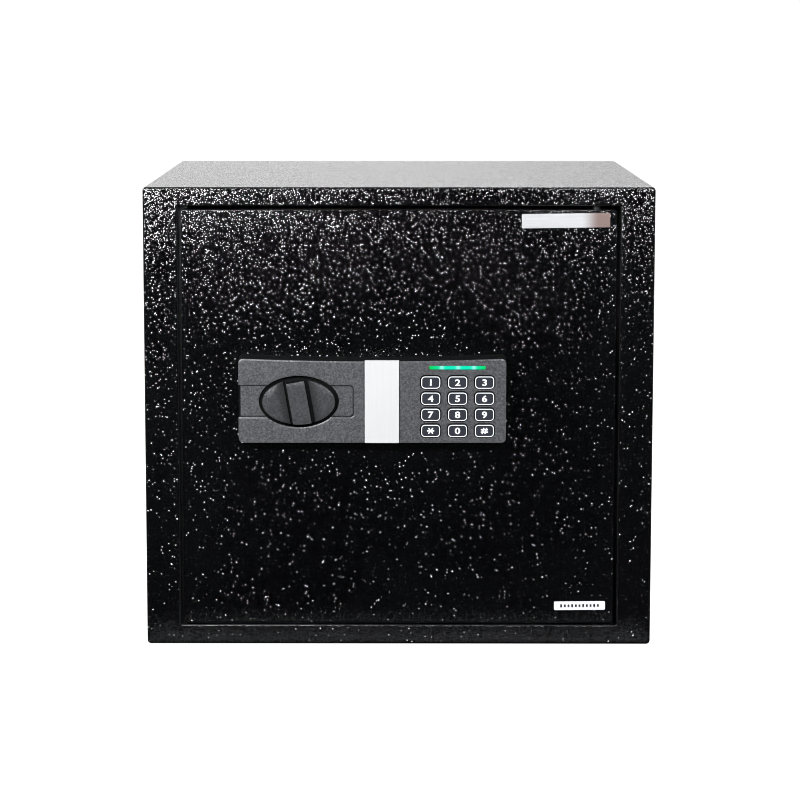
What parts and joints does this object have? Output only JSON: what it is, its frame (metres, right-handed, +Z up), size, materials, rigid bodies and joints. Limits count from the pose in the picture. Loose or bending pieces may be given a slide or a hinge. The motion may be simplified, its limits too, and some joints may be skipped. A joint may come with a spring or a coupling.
{
  "type": "electronic safe",
  "caption": "Black steel safe with an inset hinged door, a knob-driven pair of round bolts, a keypad lock panel, an emergency lock under a pull-off cover and a shelf inside.",
  "frame": {"origin": "centre of the cabinet's underside, midway between its front and back faces", "axes": "+X to the right seen from the front, +Y to the back, +Z up"},
  "size_m": [0.4, 0.3745, 0.364],
  "materials": {
    "black_coat": "black powder coat with a fine raised sparkling texture",
    "zinc_steel": "zinc-plated pressed steel",
    "bright_steel": "turned bright steel",
    "panel_plastic": "moulded dark grey plastic, fine satin grain",
    "dark_plastic": "moulded black plastic, satin",
    "key_rubber": "black silicone rubber with a white printed outline and digit",
    "satin_silver": "satin silver, nearly white",
    "nameplate_metal": "brushed silver plate, left blank",
    "label_paper": "matt white label with plain bars",
    "green_light": "clear green light guide, lit",
    "board_green": "green circuit board",
    "brass": "turned brass",
    "coil_winding": "lacquered copper winding",
    "battery_wrap": "plain wrapped cell",
    "grey_felt": "dark grey needled felt",
    "red_plastic": "red moulded plastic"
  },
  "bodies": {
    "cabinet": {"cabinet_shell": "black_coat", "rear_panel": "black_coat", "door_frame": "black_coat", "floor_mat": "grey_felt", "shelf": "black_coat", "shelf_rail_left": "black_coat", "shelf_rail_right": "black_coat", "upper_hinge_pin": "bright_steel", "lower_hinge_pin": "bright_steel"},
    "door": {"door_plate": "black_coat", "upper_hinge_block": "zinc_steel", "lower_hinge_block": "zinc_steel", "lock_panel": "panel_plastic", "keypad_board": "board_green", "status_light": "green_light", "nameplate": "nameplate_metal", "serial_label": "label_paper", "bolt_guide": "zinc_steel", "solenoid_frame": "zinc_steel", "solenoid_coil": "coil_winding", "battery_tray": "dark_plastic", "battery_1": "battery_wrap", "battery_2": "battery_wrap", "battery_3": "battery_wrap", "battery_4": "battery_wrap", "control_board": "board_green", "override_lock_body": "zinc_steel", "spindle_bush": "brass", "door_inner_cover": "dark_plastic", "cover_screw_1": "zinc_steel", "cover_screw_2": "zinc_steel", "cover_screw_3": "zinc_steel", "cover_screw_4": "zinc_steel"},
    "bolt_carriage": {"bolt_plate": "zinc_steel", "upper_bolt": "bright_steel", "lower_bolt": "bright_steel", "upper_bolt_screw": "zinc_steel", "lower_bolt_screw": "zinc_steel"},
    "knob": {"knob_dial": "dark_plastic", "knob_spindle": "zinc_steel", "knob_crank": "zinc_steel"},
    "plunger": {"solenoid_plunger": "bright_steel", "plunger_spring": "bright_steel"},
    "override_cover": {"override_cover": "satin_silver"},
    "override_plug": {"override_plug": "brass", "override_cam": "zinc_steel"},
    "reset_button": {"reset_button": "red_plastic"},
    "battery_cover": {"battery_cover": "dark_plastic"},
    "key_1": {"key_1": "key_rubber"},
    "key_2": {"key_2": "key_rubber"},
    "key_3": {"key_3": "key_rubber"},
    "key_4": {"key_4": "key_rubber"},
    "key_5": {"key_5": "key_rubber"},
    "key_6": {"key_6": "key_rubber"},
    "key_7": {"key_7": "key_rubber"},
    "key_8": {"key_8": "key_rubber"},
    "key_9": {"key_9": "key_rubber"},
    "key_star": {"key_star": "key_rubber"},
    "key_0": {"key_0": "key_rubber"},
    "key_hash": {"key_hash": "key_rubber"}
  },
  "joints": [
    {"name": "door_swing", "type": "hinge", "parent": "cabinet", "child": "door", "pos_m": [0.155, -0.167, 0.182], "axis": [0, 0, 1], "range_deg": [0, 110]},
    {"name": "bolt_throw", "type": "slide", "parent": "door", "child": "bolt_carriage", "axis": [-1, 0, 0], "range_m": [0, 0.016]},
    {"name": "knob_turn", "type": "hinge", "parent": "door", "child": "knob", "pos_m": [-0.0783, -0.18, 0.1965], "axis": [0, -1, 0], "range_deg": [0, 60.5]},
    {"name": "plunger_lift", "type": "slide", "parent": "door", "child": "plunger", "axis": [0, 0, 1], "range_m": [0, 0.005], "deforming": ["plunger_spring"]},
    {"name": "override_cover_pull", "type": "slide", "parent": "door", "child": "override_cover", "axis": [0, -1, 0], "range_m": [0, 0.025]},
    {"name": "override_turn", "type": "hinge", "parent": "door", "child": "override_plug", "pos_m": [-0.013, -0.18, 0.1965], "axis": [0, 1, 0], "range_deg": [0, 90]},
    {"name": "reset_press", "type": "slide", "parent": "door", "child": "reset_button", "axis": [0, -1, 0], "range_m": [0, 0.0015], "stiffness_N_per_m": 800},
    {"name": "battery_cover_pull", "type": "slide", "parent": "door", "child": "battery_cover", "axis": [0, 1, 0], "range_m": [0, 0.015]},
    {"name": "key_1_press", "type": "slide", "parent": "door", "child": "key_1", "axis": [0, 1, 0], "range_m": [0, 0.0012], "stiffness_N_per_m": 800},
    {"name": "key_2_press", "type": "slide", "parent": "door", "child": "key_2", "axis": [0, 1, 0], "range_m": [0, 0.0012], "stiffness_N_per_m": 800},
    {"name": "key_3_press", "type": "slide", "parent": "door", "child": "key_3", "axis": [0, 1, 0], "range_m": [0, 0.0012], "stiffness_N_per_m": 800},
    {"name": "key_4_press", "type": "slide", "parent": "door", "child": "key_4", "axis": [0, 1, 0], "range_m": [0, 0.0012], "stiffness_N_per_m": 800},
    {"name": "key_5_press", "type": "slide", "parent": "door", "child": "key_5", "axis": [0, 1, 0], "range_m": [0, 0.0012], "stiffness_N_per_m": 800},
    {"name": "key_6_press", "type": "slide", "parent": "door", "child": "key_6", "axis": [0, 1, 0], "range_m": [0, 0.0012], "stiffness_N_per_m": 800},
    {"name": "key_7_press", "type": "slide", "parent": "door", "child": "key_7", "axis": [0, 1, 0], "range_m": [0, 0.0012], "stiffness_N_per_m": 800},
    {"name": "key_8_press", "type": "slide", "parent": "door", "child": "key_8", "axis": [0, 1, 0], "range_m": [0, 0.0012], "stiffness_N_per_m": 800},
    {"name": "key_9_press", "type": "slide", "parent": "door", "child": "key_9", "axis": [0, 1, 0], "range_m": [0, 0.0012], "stiffness_N_per_m": 800},
    {"name": "key_star_press", "type": "slide", "parent": "door", "child": "key_star", "axis": [0, 1, 0], "range_m": [0, 0.0012], "stiffness_N_per_m": 800},
    {"name": "key_0_press", "type": "slide", "parent": "door", "child": "key_0", "axis": [0, 1, 0], "range_m": [0, 0.0012], "stiffness_N_per_m": 800},
    {"name": "key_hash_press", "type": "slide", "parent": "door", "child": "key_hash", "axis": [0, 1, 0], "range_m": [0, 0.0012], "stiffness_N_per_m": 800}
  ],
  "couplings": [
    {"joint": "knob_turn", "follows": "bolt_throw", "rad_per_m": 65.45}
  ]
}
